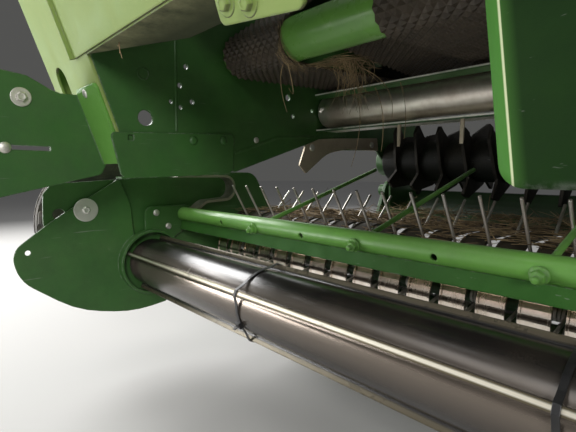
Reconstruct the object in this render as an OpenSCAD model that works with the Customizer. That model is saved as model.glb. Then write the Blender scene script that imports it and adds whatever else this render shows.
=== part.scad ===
// Crop intake of a round baler: the pickup, the crop press and the front of the bale chamber.
// X runs across the machine, Y runs rearwards, Z is up. Millimetres.
// The origin is the middle of the four holes in the rear flanges, where the rest of the baler bolts on.

/* [Chamber frame] */
// Half the width between the two chamber side sheets
chamber_half_w = 780; // [700:1:850]
// Thickness of the side sheets
sheet_t = 6; // [4:1:10]
// Height of the top edge of the side sheets above the origin
sheet_top = 450; // [400:1:600]
// Width of the rear mounting flanges
flange_w = 70; // [60:1:90]
// Height between the mounting holes
mount_spacing_z = 400; // [300:1:420]
// Radius of the mounting holes
mount_hole_r = 9; // [6:0.5:12]

/* [Rolls and belts] */
// Radius of the belt rolls
belt_roll_r = 40; // [30:1:42]
// Radius of the smooth roll
smooth_roll_r = 40; // [34:1:42]
// Number of belts side by side
belt_count = 8; // [6:1:10]
// Width of a belt
belt_w = 178; // [150:1:180]
// Thickness of a belt
belt_t = 6; // [4:1:8]

/* [Pickup] */
// Half the width between the pickup end plates
pickup_half_w = 1114; // [1090:1:1200]
// Distance between neighbouring tines
tine_pitch = 66; // [60:1:72]
// Number of tines on a bar
tine_count = 32; // [20:2:32]
// Number of tine bars on the reel
bar_count = 5; // [4:1:6]
// Radius of the circle that the tine tips draw
tip_r = 193; // [180:1:205]
// Radius of the circle that the tine bars sit on
bar_circle_r = 62; // [55:1:66]
// Diameter of a tine
tine_d = 6; // [5:0.5:8]
// Width of a stripper band
band_w = 47; // [40:1:52]
// Thickness of a stripper band
band_t = 3; // [2:0.5:4]

/* [Feed rotor] */
// Radius that the rotor tines reach
rotor_r = 124; // [110:1:130]
// Distance between neighbouring rotor discs
rotor_pitch = 72; // [60:1:80]
// Number of rotor discs
rotor_discs = 21; // [15:2:21]
// Number of tines on a rotor disc
rotor_tines_round = 4; // [3:1:6]

/* [Crop press] */
// Radius of the cross tube
press_tube_r = 19; // [16:1:24]
// Radius of the crop roller's drum
drum_r = 63; // [50:1:66]
// Height of the ribs over the drum
rib_h = 12; // [8:1:16]
// Number of ribs on the crop roller
rib_count = 4; // [3:1:8]
// Diameter of a compressor rod
rod_d = 10; // [8:1:14]

/* [Gauge wheels] */
// Radius of the gauge wheel tyre
tyre_r = 200; // [180:1:220]
// Width of the gauge wheel tyre
tyre_w = 90; // [80:1:120]

/* [Hidden] */
$fn = 48;

// Clearances
run_gap = 0.05;
seat = 0.3;

// Paint and metal
frame_green = [0.10, 0.36, 0.12];
light_green = [0.22, 0.52, 0.20];
bare_steel = [0.70, 0.68, 0.66];
dark_steel = [0.20, 0.20, 0.21];
rubber = [0.12, 0.10, 0.09];
zinc = [0.75, 0.70, 0.58];

// Places along the machine, as [y, z]
reel_axis = [-480, -299];
hanger_pivot = [-90, -150];
press_pivot = [-964, -193];
rotor_axis = [-130, -56];
press_tube_at = [-700, -216];
roller_axis = [-800, -342];
pickup_beam_at = [-300, -480];
front_roll_at = [-733, 154];
middle_roll_at = [-612, 200];
rear_roll_at = [-230, 178];
upper_roll_at = [-420, 385];
smooth_roll_at = [-440, 66];
wheel_axis = [-830, -250];

// Parts of the frame
sheet_out = chamber_half_w + sheet_t;
roll_half_l = chamber_half_w - 5;
journal_r = 20;
boss_r = 45;
boss_l = 24;

// The front edge of the side sheets leans forward as it rises
front_lean = 19.8;
front_foot_y = -1007;
front_flange_w = 60;
front_plate_out = 1030;
front_plate_t = 5;
front_plate_foot = -70;
arm_flange_w = 110;
arm_flange_t = 6;
panel_t = 5;
panel_foot = 108;
function front_edge_y(z) = front_foot_y - tan(front_lean) * z;
function front_face_y(z) = front_edge_y(z) - front_plate_t / cos(front_lean);

// Extrudes a shape drawn as [x, height up the slope] forward from the given distance in front of the edge
module on_front(distance, thickness) {
  translate([0, front_foot_y, 0]) rotate([90 + front_lean, 0, 0]) translate([0, 0, distance])
    linear_extrude(thickness) children();
}

// Parts of the feed rotor
rotor_tube_r = 60;
disc_t = 8;
floor_r = 152;
floor_t = 5;

// Parts of the pickup
plate_t = 6;
nose_t = 5;
hanger_t = 12;
hanger_in = sheet_out + 14;
hanger_pin_r = 20;
beam_r = 35;
band_r = 86;
band_front = 114;
band_reach = tip_r + 30;
bead_w = 4;
bead_h = 2;
rail_w = 20;
rail_t = 4;
shaft_r = 20;
reel_tube_r = 46;
bar_r = 10;
reel_bearing_l = 20;
tine_half_span = tine_pitch * (tine_count - 1) / 2;
bar_half_l = tine_half_span + 40;
hub_t = 8;

// Parts of the crop press
side_gap = 5;
nose_in = pickup_half_w - side_gap - nose_t;
arm_t = 8;
arm_in = nose_in - arm_t;
press_pin_r = 12;
roller_bearing_r = 30;
roller_bearing_l = 8;
roller_half_l = arm_in - 6;
roller_journal_l = nose_in + 2;
press_tube_wall = 4;
ring_r = 88;
ring_t = 7;
ring_w = 24;
rib_t = 10;
strap_w = 45;
rod_rise = 17;
rod_reach = 430;
rod_x = [-740, -450, -156, 132, 414, 708];
spare_hole_x = [-872, -586, -299, -12, 275, 561, 848];

// Parts of the gauge wheels
wheel_mid = pickup_half_w + 236;
spindle_r = 15;
hub_r = 32;
rim_r = 110;

// Points of a rounded outline; each corner is [y, z, corner radius]
function unit(v) = v / norm(v);
function corner_arc(a, b, c) =
  let (
    p = [b.x, b.y],
    u = unit([a.x, a.y] - p),
    v = unit([c.x, c.y] - p),
    half = acos(max(-1, min(1, u * v))) / 2,
    reach = b.z / tan(half),
    mid = p + unit(u + v) * b.z / sin(half),
    from = p + u * reach - mid,
    to = p + v * reach - mid,
    a0 = atan2(from.y, from.x),
    turn = atan2(from.x * to.y - from.y * to.x, from * to),
    steps = max(2, ceil(abs(turn) / 9))
  )
  b.z <= 0 ? [p] : [for (i = [0:steps]) mid + b.z * [cos(a0 + turn * i / steps), sin(a0 + turn * i / steps)]];
function rounded(corners) =
  let (n = len(corners))
  [for (i = [0:n - 1]) each corner_arc(corners[(i + n - 1) % n], corners[i], corners[(i + 1) % n])];

// Extrudes an outline drawn as [y, z] along X, from x0
module along_x(x0, length) {
  translate([x0, 0, 0]) rotate([90, 0, 90]) linear_extrude(length) children();
}

// A round bar or tube along X at a [y, z] place
module bar_x(place, r, x0, length) {
  translate([x0, place.x, place.y]) rotate([0, 90, 0]) cylinder(r = r, h = length);
}

// Side -1 is the left of the machine, 1 the right; children are drawn for the right
module on_side(side) {
  if (side < 0) mirror([1, 0, 0]) children();
  else children();
}

// Chamber frame
sheet_outline = [
  [front_edge_y(-70), -70, 8], [front_edge_y(sheet_top), sheet_top, 0], [0, sheet_top, 0], [0, -250, 0],
  [-112, -250, 16], [-134, -215, 16], [-134, -92, 60], [-215, -25, 20], [-400, -32, 60],
  [-520, -24, 20], [-743, -97, 12], [-760, -80, 8], [-974, -80, 8]
];
roll_places = [front_roll_at, middle_roll_at, rear_roll_at, upper_roll_at, smooth_roll_at, rotor_axis];

// Holes through the side sheets, as [y, z, radius]
sheet_holes = [
  [-947, 5, 15], [-860, 115, 5], [-874, 76, 5], [-847, 47, 5], [-894, 42, 4], [-873, 33, 4],
  [-581, 88, 8], [-497, 65, 5], [-564, 45, 5]
];

// A strip along the front edge of a side sheet, from the given distance behind the edge
module front_edge_strip(from, width) {
  polygon([
    for (corner = [[from, -70], [from + width, -70], [from + width, sheet_top], [from, sheet_top]])
      [front_edge_y(corner.y) + corner.x, corner.y]
  ]);
}

module side_sheet(side) {
  color(frame_green) on_side(side) difference() {
    union() {
      along_x(chamber_half_w, sheet_t) polygon(rounded(sheet_outline));
      translate([chamber_half_w, -sheet_t, -250]) cube([sheet_t + flange_w, sheet_t, sheet_top + 250]);
      along_x(chamber_half_w, front_flange_w) front_edge_strip(0, sheet_t);
      for (place = roll_places) bar_x(place, boss_r, sheet_out, boss_l);
      bar_x(hanger_pivot, hanger_pin_r - run_gap, sheet_out, 60);
    }
    for (z = [-mount_spacing_z / 2, mount_spacing_z / 2])
      translate([chamber_half_w + 45, 5, z]) rotate([90, 0, 0]) cylinder(r = mount_hole_r, h = sheet_t + 10);
    for (place = roll_places) bar_x(place, journal_r, chamber_half_w - 1, sheet_t + boss_l + 2);
    for (hole = sheet_holes) bar_x([hole.x, hole.y], hole.z, chamber_half_w - 1, sheet_t + 2);
  }
}

box_outline = [[-1016, -26, 8], [-997, -107, 8], [-747, -97, 14], [-744, -12, 12]];

module box_plate(side) {
  color(frame_green) on_side(side) {
    along_x(chamber_half_w - 4, 4) difference() {
      polygon(rounded(box_outline));
      translate([-983, -39]) square(10);
    }
    translate([chamber_half_w - 4, 0, 0]) mirror([1, 0, 0]) along_x(-30, 30)
      polygon([[-997, -107], [-750, -97], [-750, -101], [-997, -111]]);
  }
}

front_arm_outline = [
  [front_face_y(51), 51, 4], [front_face_y(-80), -80, 12], [-995, -104, 12], [-1342, -187, 60],
  [-1331, -37, 60], [-1185, 82, 60], [-1122, 75, 20], [-1083, 55, 20], [-1066, 50, 4]
];

// The arm is welded to a flange that is bolted on the front plate
module front_arm(side) {
  color(light_green) on_side(side) {
    along_x(chamber_half_w + arm_flange_w, 8) difference() {
      polygon(rounded(front_arm_outline));
      translate([-1153, -60]) square([66, 8]);
    }
    on_front(front_plate_t, arm_flange_t) translate([chamber_half_w + 4, -84])
      polygon(rounded([[0, 0, 2], [arm_flange_w - 4, 0, 2], [arm_flange_w - 4, 150, 12], [0, 150, 12]]));
  }
}

slot_mid = 959;
slot_r = 27;
slot_top = 93;

// The slotted front plate is bent back along its outer edge
module slotted_strut(side) {
  plate_top = sheet_top / cos(front_lean);
  color(light_green) on_side(side) {
    on_front(0, front_plate_t) difference() {
      translate([chamber_half_w, front_plate_foot])
        square([front_plate_out - chamber_half_w, plate_top - front_plate_foot]);
      translate([slot_mid, slot_top]) circle(r = slot_r);
      translate([slot_mid - slot_r, -10]) square([2 * slot_r, slot_top + 10]);
    }
    on_front(-40, 40) translate([front_plate_out - front_plate_t, front_plate_foot])
      square([front_plate_t, plate_top - front_plate_foot]);
  }
}

// The lower flange of the front panel in plan, as [x, y, corner radius]
panel_flange_outline = [
  [-779, -1051, 0], [779, -1051, 0], [572, -966, 8], [130, -966, 8],
  [130, -1005, 8], [-130, -1005, 8], [-130, -966, 8], [-572, -966, 8]
];

// The panel lies on the front plates, with its lower edge bent back and a lip at each end
module front_panel() {
  foot = panel_foot / cos(front_lean);
  color(light_green) {
    on_front(front_plate_t, panel_t) translate([-835, foot]) square([1670, 230]);
    for (x = [-840, 835]) on_front(front_plate_t, 12) translate([x, foot]) square([5, 230]);
    translate([0, 0, panel_foot - 5]) linear_extrude(panel_t) polygon(rounded(panel_flange_outline));
    on_front(front_plate_t + panel_t, 5) polygon(rounded([[-371, 62, 10], [-250, 48, 10], [-250, 190, 4], [-371, 190, 4]]));
  }
}

module cross_beam() {
  color(frame_green) difference() {
    translate([-chamber_half_w, -970, 250]) cube([2 * chamber_half_w, 100, 100]);
    translate([-chamber_half_w - 1, -964, 256]) cube([2 * chamber_half_w + 2, 88, 88]);
  }
}

// Outline of the centre post, as [x, z, corner radius]
post_outline = [
  [-98, -108, 18], [98, -108, 18], [115, 20, 60], [115, 350, 0], [-115, 350, 0], [-115, 20, 60]
];

module centre_post() {
  color(light_green) translate([0, -970, 0]) rotate([90, 0, 0]) linear_extrude(30) polygon(rounded(post_outline));
}

module upper_scraper() {
  color(frame_green) along_x(-chamber_half_w, 2 * chamber_half_w)
    polygon([[-486, 108], [-480, 108], [-471, 99.5], [-474, 95.5], [-486, 103]]);
}

module lower_scraper() {
  color(frame_green) along_x(-chamber_half_w, 2 * chamber_half_w)
    polygon([[-480, 18], [-440, 22], [-400, 22], [-400, 16], [-440, 16], [-480, 12]]);
}

module guide_bracket(side) {
  color(zinc) on_side(side) along_x(chamber_half_w - 5, 5)
    polygon(rounded([
      [-543, -76, 3], [-522, -24, 12], [-470, -6, 30], [-400, 0, 0], [-220, 12, 3],
      [-212, -26, 3], [-360, -28, 120], [-440, -42, 120], [-520, -97, 3]
    ]));
}

// Strips that hang under the lower scraper and keep crop off the smooth roll
strip_x = [100:150:550];
strip_w = 8;

module guide_strips() {
  color(zinc) for (side = [-1, 1], x = strip_x)
    along_x(side * x - strip_w / 2, strip_w) polygon([[-444, 15.6], [-440, 16], [-440, -26], [-444, -34]]);
}

// The curved floor under the feed rotor
module feed_floor() {
  color(frame_green) along_x(-chamber_half_w, 2 * chamber_half_w) polygon([
    [-226, -218], [-190, -213],
    for (a = [-103:9:-40]) rotor_axis + floor_r * [cos(a), sin(a)],
    [-10, rotor_axis.y - 92], [-10, rotor_axis.y - 92 - floor_t],
    for (a = [-40:-9:-103]) rotor_axis + (floor_r + floor_t) * [cos(a), sin(a)],
    [-190, -213 - floor_t], [-226, -218 - floor_t]
  ]);
}

// Feed rotor
module rotor_tube() {
  color(dark_steel) {
    bar_x(rotor_axis, rotor_tube_r, -roll_half_l, 2 * roll_half_l);
    bar_x(rotor_axis, journal_r - run_gap, -sheet_out - boss_l, 2 * (sheet_out + boss_l));
  }
}

// Outline of a rotor disc: hooked tines with straight leading faces
function rotor_disc_outline(turn) = [
  for (i = [0:rotor_tines_round - 1]) let (a = turn + i * 360 / rotor_tines_round) each [
    [rotor_r * cos(a), rotor_r * sin(a), 5],
    [(rotor_r - 8) * cos(a + 14), (rotor_r - 8) * sin(a + 14), 12],
    [(rotor_tube_r + 14) * cos(a + 66), (rotor_tube_r + 14) * sin(a + 66), 14],
    [(rotor_tube_r + 12) * cos(a + 84), (rotor_tube_r + 12) * sin(a + 84), 8]
  ]
];

module rotor_tines() {
  color(dark_steel) for (i = [0:rotor_discs - 1]) let (place = i - (rotor_discs - 1) / 2)
    along_x(place * rotor_pitch - disc_t / 2, disc_t) translate(rotor_axis) difference() {
      polygon(rounded(rotor_disc_outline(180 - 6 * abs(place))));
      circle(r = rotor_tube_r);
    }
}

// Rolls and belts
belt_pitch = 2 * roll_half_l / belt_count;
belt_loop_front = [front_roll_at, rear_roll_at, upper_roll_at];
belt_loop_back = [middle_roll_at, rear_roll_at, upper_roll_at];

// Outline of a belt pulled tight round rolls, listed anticlockwise
function tight_loop(rolls, r) =
  let (n = len(rolls))
  [for (i = [0:n - 1])
    let (
      before = rolls[i] - rolls[(i + n - 1) % n],
      after = rolls[(i + 1) % n] - rolls[i],
      a0 = atan2(before.y, before.x) - 90,
      turn = (atan2(after.y, after.x) - 90 - a0 + 720) % 360,
      steps = ceil(turn / 9)
    )
    for (k = [0:steps]) rolls[i] + r * [cos(a0 + turn * k / steps), sin(a0 + turn * k / steps)]
  ];

module belt(i, rolls) {
  along_x(-roll_half_l + belt_pitch * (i + 0.5) - belt_w / 2, belt_w) difference() {
    polygon(tight_loop(rolls, belt_roll_r + seat + belt_t));
    polygon(tight_loop(rolls, belt_roll_r + seat));
  }
}

module belts_front() {
  color(rubber) for (i = [0:2:belt_count - 1]) belt(i, belt_loop_front);
}

module belts_back() {
  color(rubber) for (i = [1:2:belt_count - 1]) belt(i, belt_loop_back);
}

module roll(place, r, paint) {
  color(paint) {
    bar_x(place, r, -roll_half_l, 2 * roll_half_l);
    bar_x(place, journal_r - run_gap, -sheet_out - boss_l, 2 * (sheet_out + boss_l));
  }
}

// Pickup
end_outline = [
  [-1058, -230, 30], [-1056, -152, 20], [-1036, -128, 12], [-560, -95, 50], [-430, -95, 50], [-245, -420, 40], [-240, -500, 40],
  [-280, -535, 40], [-420, -520, 60], [-860, -440, 60]
];

module end_plate(side) {
  color(frame_green) on_side(side) difference() {
    union() {
      along_x(pickup_half_w, plate_t) polygon(rounded(end_outline));
      bar_x(reel_axis, boss_r, pickup_half_w + plate_t, reel_bearing_l - plate_t);
      bar_x(press_pivot, press_pin_r - run_gap, nose_in - 1, side_gap + nose_t + 1);
    }
    bar_x([-1023, -202], 14, pickup_half_w - 1, plate_t + 2);
    bar_x(reel_axis, shaft_r, pickup_half_w - 1, reel_bearing_l + 2);
  }
}

module pickup_beam() {
  color(frame_green) difference() {
    bar_x(pickup_beam_at, beam_r, -pickup_half_w, 2 * pickup_half_w);
    bar_x(pickup_beam_at, beam_r - 5, -pickup_half_w - 1, 2 * pickup_half_w + 2);
  }
}

hanger_outline = [
  [-122, -116, 31], [-58, -116, 31], [-60, -200, 60], [-245, -532, 45],
  [-345, -532, 45], [-352, -430, 40], [-250, -415, 30]
];

module hanger_arm(side) {
  color(frame_green) on_side(side) difference() {
    along_x(hanger_in, hanger_t) polygon(rounded(hanger_outline));
    bar_x(hanger_pivot, hanger_pin_r, hanger_in - 1, hanger_t + 2);
    bar_x(pickup_beam_at, beam_r, hanger_in - 1, hanger_t + 2);
  }
}

// Outline of a stripper band, as [y, z] from the reel axis
function band_line(grow) = [
  [band_reach, band_r + grow],
  for (t = [90:9:126]) (band_r + grow) * [cos(t), sin(t)],
  for (t = [126:9:270]) [-band_front + 62, -24] + (62 + grow) * [cos(t), sin(t)],
  [band_reach, -band_r - grow]
];

module band_strip(x, width, grow) {
  along_x(x, width) translate(reel_axis) difference() {
    polygon(band_line(grow));
    translate([0.01, 0]) polygon(band_line(-band_t));
  }
}

// A band with a bead along both edges
module band(x) {
  band_strip(x - band_w / 2, band_w, 0);
  for (edge = [-band_w / 2, band_w / 2 - bead_w]) band_strip(x + edge, bead_w, bead_h);
}

module stripper_bands() {
  color(bare_steel) for (i = [0:tine_count]) band(-tine_half_span - tine_pitch / 2 + i * tine_pitch);
}

module band_rails() {
  color(frame_green) for (z = [band_r - band_t - rail_t, -band_r + band_t])
    translate([-pickup_half_w, reel_axis.x + band_reach - rail_w, reel_axis.y + z])
      cube([2 * pickup_half_w, rail_w, rail_t]);
}

module reel_shaft() {
  color(dark_steel) {
    bar_x(reel_axis, shaft_r - run_gap, -pickup_half_w - reel_bearing_l, 2 * (pickup_half_w + reel_bearing_l));
    bar_x(reel_axis, reel_tube_r, -bar_half_l, 2 * bar_half_l);
    difference() {
      for (x = [-bar_half_l + 12, -hub_t / 2, bar_half_l - 12 - hub_t]) bar_x(reel_axis, bar_circle_r + 6, x, hub_t);
      for (i = [0:bar_count - 1]) bar_x(bar_place(i), bar_r + 0.01, -bar_half_l, 2 * bar_half_l);
    }
  }
}

function bar_place(i) = reel_axis + bar_circle_r * [cos(48.8 + i * 360 / bar_count), sin(48.8 + i * 360 / bar_count)];

module tine_bars() {
  color(dark_steel) for (i = [0:bar_count - 1]) bar_x(bar_place(i), bar_r, -bar_half_l, 2 * bar_half_l);
}

module tines() {
  color(bare_steel) for (i = [0:bar_count - 1], k = [0:tine_count - 1])
    translate([-tine_half_span + k * tine_pitch, reel_axis.x, reel_axis.y])
      rotate([48.8 + i * 360 / bar_count - 90, 0, 0])
      translate([0, 0, bar_circle_r + bar_r]) cylinder(d = tine_d, h = tip_r - bar_circle_r - bar_r, $fn = 16);
}

// Crop press
nose_outline = [
  [-880, -115, 8], [-1040, -215, 200], [-1128, -283, 45], [-1113, -352, 90], [-990, -446, 260],
  [-850, -478, 300], [-745, -464, 10], [-840, -300, 60], [-852, -180, 80]
];

// The side plate hangs on the pivot and carries the roller's bearing and the ring round its end
module nose_plate(side) {
  color(frame_green) on_side(side) difference() {
    union() {
      along_x(nose_in, nose_t) polygon(rounded(nose_outline));
      bar_x(roller_axis, roller_bearing_r, nose_in - roller_bearing_l, roller_bearing_l);
      difference() {
        bar_x(roller_axis, ring_r, nose_in - ring_w, ring_w);
        bar_x(roller_axis, ring_r - ring_t, nose_in - ring_w - 1, ring_w + 1);
      }
    }
    bar_x([-1094, -287], 6, nose_in - 1, nose_t + 2);
    for (place = [press_pivot, roller_axis]) bar_x(place, press_pin_r, nose_in - roller_bearing_l - 1, nose_t + 12);
  }
}

// A plate that joins the side plate to the end of the cross tube
press_arm_outline = [[-815, -192, 18], [-672, -190, 24], [-672, -242, 24], [-735, -285, 20], [-815, -262, 4]];

module press_arm(side) {
  color(frame_green) on_side(side) along_x(arm_in, arm_t) difference() {
    polygon(rounded(press_arm_outline));
    translate(roller_axis) circle(r = ring_r + 0.01);
  }
}

module press_tube() {
  color(light_green) difference() {
    bar_x(press_tube_at, press_tube_r, -arm_in, 2 * arm_in);
    bar_x(press_tube_at, press_tube_r - press_tube_wall, -arm_in - 1, 2 * arm_in + 2);
    for (x = rod_x) rod_hole(x, rod_d / 2 + 0.01);
    for (x = spare_hole_x) rod_hole(x, 5.5);
  }
}

// A hole right through the cross tube, in line with the rods
module rod_hole(x, r) {
  translate([x, press_tube_at.x, press_tube_at.y]) rotate([rod_rise - 90, 0, 0])
    cylinder(r = r, h = 4 * press_tube_r, center = true);
}

module press_lip() {
  color(light_green) along_x(-arm_in, 2 * arm_in) translate(press_tube_at) difference() {
    polygon([[-5, -12], [1, -12], [-7, -44], [-12, -44]]);
    circle(r = press_tube_r + 0.01);
  }
}

// A flat bar bent to a hook, with its lower end on the cross tube
strap_outline = [
  [-741, -104, 0], [-549, -104, 34], [-549, -178, 34], [-648, -184, 30], [-690, -214, 0],
  [-694, -208, 0], [-651, -177, 37], [-556, -171, 27], [-556, -111, 27], [-741, -111, 0]
];

module press_strap(side) {
  color(light_green) on_side(side) along_x(arm_in - strap_w, strap_w) difference() {
    polygon(rounded(strap_outline));
    translate(press_tube_at) circle(r = press_tube_r + 0.01);
  }
}

module compressor_rods() {
  color(light_green) for (x = rod_x)
    translate([x, press_tube_at.x, press_tube_at.y]) rotate([rod_rise - 90, 0, 0])
      translate([0, 0, -press_tube_r - 4]) cylinder(d = rod_d, h = rod_reach + 2 * press_tube_r + 4);
}

module crop_roller() {
  color(dark_steel) {
    bar_x(roller_axis, drum_r, -roller_half_l, 2 * roller_half_l);
    bar_x(roller_axis, press_pin_r - run_gap, -roller_journal_l, 2 * roller_journal_l);
    for (i = [0:rib_count - 1]) translate([0, roller_axis.x, roller_axis.y]) rotate([66 + i * 360 / rib_count, 0, 0])
      translate([-roller_half_l, drum_r - 2, -rib_t / 2]) cube([2 * roller_half_l, rib_h + 2, rib_t]);
  }
}

// Gauge wheels
module wheel_arm(side) {
  color(frame_green) on_side(side) {
    along_x(pickup_half_w + plate_t, 10) polygon(rounded([
      [-880, -200, 48], [-780, -200, 40], [-690, -235, 20], [-690, -290, 20], [-780, -300, 40], [-880, -300, 48]
    ]));
    bar_x(wheel_axis, 24, pickup_half_w + plate_t + 10, wheel_mid - pickup_half_w - plate_t - 10 - 62);
    bar_x(wheel_axis, spindle_r - run_gap, wheel_mid - 62, 124);
  }
}

module gauge_rim(side) {
  color(zinc) on_side(side) translate([wheel_mid, wheel_axis.x, wheel_axis.y]) rotate([0, 90, 0]) rotate_extrude()
    polygon([
      [spindle_r, -60], [hub_r, -60], [hub_r, -4], [rim_r - 6, -4], [rim_r - 6, -38], [rim_r, -38],
      [rim_r, 38], [rim_r - 6, 38], [rim_r - 6, 4], [hub_r, 4], [hub_r, 60], [spindle_r, 60]
    ]);
}

module gauge_tyre(side) {
  color(rubber) on_side(side) translate([wheel_mid, wheel_axis.x, wheel_axis.y]) rotate([0, 90, 0]) rotate_extrude()
    polygon(rounded([
      [rim_r, -38, 4], [rim_r + 30, -tyre_w / 2, 18], [tyre_r, -tyre_w / 2 + 8, 20],
      [tyre_r, tyre_w / 2 - 8, 20], [rim_r + 30, tyre_w / 2, 18], [rim_r, 38, 4]
    ]));
}

side_sheet(-1);  // side_sheet_left
side_sheet(1);  // side_sheet_right
box_plate(-1);  // box_plate_left
box_plate(1);  // box_plate_right
front_arm(-1);  // front_arm_left
front_arm(1);  // front_arm_right
slotted_strut(-1);  // slotted_strut_left
slotted_strut(1);  // slotted_strut_right
front_panel();
cross_beam();
centre_post();
upper_scraper();
lower_scraper();
guide_bracket(-1);  // guide_bracket_left
guide_bracket(1);  // guide_bracket_right
guide_strips();
feed_floor();
rotor_tube();
rotor_tines();
belts_front();
belts_back();
roll(front_roll_at, belt_roll_r, light_green);  // front_belt_roll
roll(middle_roll_at, belt_roll_r, dark_steel);  // middle_belt_roll
roll(rear_roll_at, belt_roll_r, dark_steel);  // rear_belt_roll
roll(upper_roll_at, belt_roll_r, dark_steel);  // upper_belt_roll
roll(smooth_roll_at, smooth_roll_r, bare_steel);  // smooth_roll
end_plate(-1);  // end_plate_left
end_plate(1);  // end_plate_right
nose_plate(-1);  // nose_plate_left
nose_plate(1);  // nose_plate_right
pickup_beam();
hanger_arm(-1);  // hanger_arm_left
hanger_arm(1);  // hanger_arm_right
stripper_bands();
band_rails();
reel_shaft();
tine_bars();
tines();
press_tube();
press_lip();
press_arm(-1);  // press_arm_left
press_arm(1);  // press_arm_right
press_strap(-1);  // press_strap_left
press_strap(1);  // press_strap_right
compressor_rods();
crop_roller();
wheel_arm(-1);  // wheel_arm_left
wheel_arm(1);  // wheel_arm_right
gauge_rim(-1);  // gauge_rim_left
gauge_rim(1);  // gauge_rim_right
gauge_tyre(-1);  // gauge_tyre_left
gauge_tyre(1);  // gauge_tyre_right
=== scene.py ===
import math
import random

import bmesh
import bpy
from mathutils import Matrix, Vector


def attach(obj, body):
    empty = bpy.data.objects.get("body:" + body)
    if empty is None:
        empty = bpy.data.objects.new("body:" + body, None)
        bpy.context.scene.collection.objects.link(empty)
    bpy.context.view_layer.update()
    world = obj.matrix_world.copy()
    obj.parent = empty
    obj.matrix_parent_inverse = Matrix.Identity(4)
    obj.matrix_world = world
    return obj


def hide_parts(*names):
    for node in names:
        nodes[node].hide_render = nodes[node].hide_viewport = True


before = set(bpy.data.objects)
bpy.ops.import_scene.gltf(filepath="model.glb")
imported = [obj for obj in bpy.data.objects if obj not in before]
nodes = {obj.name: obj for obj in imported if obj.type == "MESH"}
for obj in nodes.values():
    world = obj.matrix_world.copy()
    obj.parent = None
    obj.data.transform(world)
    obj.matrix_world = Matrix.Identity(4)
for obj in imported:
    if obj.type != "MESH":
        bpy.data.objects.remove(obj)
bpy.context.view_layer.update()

# Surroundings
# A pale floor and backdrop, soft studio lamps, and the camera at the height and angle of a person
# crouching under the front of the machine.
floor_z = -0.70
floor_half = 30
camera_at = Vector((0.0206, -1.300, -0.100))
camera_turn = math.radians(47.93)
camera_down = math.radians(5.57)
camera_roll = math.radians(-0.54)
lens_mm, sensor_mm = 26.66, 36


def node(tree, kind, **settings):
    made = tree.nodes.new(kind)
    for name, value in settings.items():
        if name in made.inputs:
            made.inputs[name].default_value = value
        else:
            setattr(made, name, value)
    return made


def wire(tree, source, target, name):
    tree.links.new(source, target.inputs[name])


def new_material(name):
    material = bpy.data.materials.new(name)
    material.use_nodes = True
    tree = material.node_tree
    tree.nodes.clear()
    shader = node(tree, "ShaderNodeBsdfPrincipled")
    output = node(tree, "ShaderNodeOutputMaterial")
    wire(tree, shader.outputs["BSDF"], output, "Surface")
    return material, tree, shader


def mesh_object(name, bm, material):
    mesh = bpy.data.meshes.new(name)
    bm.to_mesh(mesh)
    bm.free()
    made = bpy.data.objects.new(name, mesh)
    made.data.materials.append(material)
    bpy.context.scene.collection.objects.link(made)
    return made


floor_material, tree, shader = new_material("studio_floor")
shader.inputs["Base Color"].default_value = (0.60, 0.59, 0.57, 1)
shader.inputs["Roughness"].default_value = 0.9
bm = bmesh.new()
at_floor = Matrix.Translation((0, 0, floor_z))
bmesh.ops.create_grid(bm, x_segments=1, y_segments=1, size=floor_half, matrix=at_floor)
floor = mesh_object("studio_floor", bm, floor_material)

world = bpy.data.worlds.new("studio_world")
bpy.context.scene.world = world
world.use_nodes = True
tree = world.node_tree
tree.nodes.clear()
soft_light = node(tree, "ShaderNodeBackground", Color=(0.95, 0.97, 1.0, 1), Strength=0.13)
backdrop = node(tree, "ShaderNodeBackground", Color=(0.085, 0.085, 0.082, 1), Strength=1.0)
rays = node(tree, "ShaderNodeLightPath")
mirrored = node(tree, "ShaderNodeMath", operation="MAXIMUM")
wire(tree, rays.outputs["Is Glossy Ray"], mirrored, 0)
wire(tree, rays.outputs["Is Transmission Ray"], mirrored, 1)
seen = node(tree, "ShaderNodeMath", operation="MAXIMUM")
wire(tree, rays.outputs["Is Camera Ray"], seen, 0)
wire(tree, mirrored.outputs[0], seen, 1)
choose = node(tree, "ShaderNodeMixShader")
output = node(tree, "ShaderNodeOutputWorld")
wire(tree, seen.outputs[0], choose, 0)
wire(tree, soft_light.outputs[0], choose, 1)
wire(tree, backdrop.outputs[0], choose, 2)
wire(tree, choose.outputs[0], output, "Surface")

for name, place, aim, size, power in (
    ("left_window", (-4.4, -1.3, 2.1), (-0.6, -0.9, -0.1), (2.2, 2.0), 190),
    ("low_left_softbox", (-3.2, -2.9, -0.25), (-0.8, -1.0, 0.1), (1.6, 0.6), 66),
    ("right_softbox", (4.0, -4.0, 1.8), (-0.5, -0.9, 0.0), (1.5, 1.5), 170),
    ("front_softbox", (-1.5, -4.0, 0.75), (-0.3, -0.8, -0.1), (2.6, 0.8), 8),
    ("overhead_softbox", (-1.6, -3.0, 3.4), (-0.3, -0.9, -0.1), (2.6, 2.0), 55),
    ("rear_softbox", (-5.0, 4.0, 2.5), (0.0, 0.0, 0.0), (3.0, 3.0), 45),
):
    data = bpy.data.lights.new(name, "AREA")
    data.shape = "RECTANGLE"
    data.size, data.size_y = size
    data.energy = power
    lamp = bpy.data.objects.new(name, data)
    lamp.location = place
    lamp.rotation_euler = (Vector(aim) - Vector(place)).to_track_quat("-Z", "Y").to_euler()
    bpy.context.scene.collection.objects.link(lamp)

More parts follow.
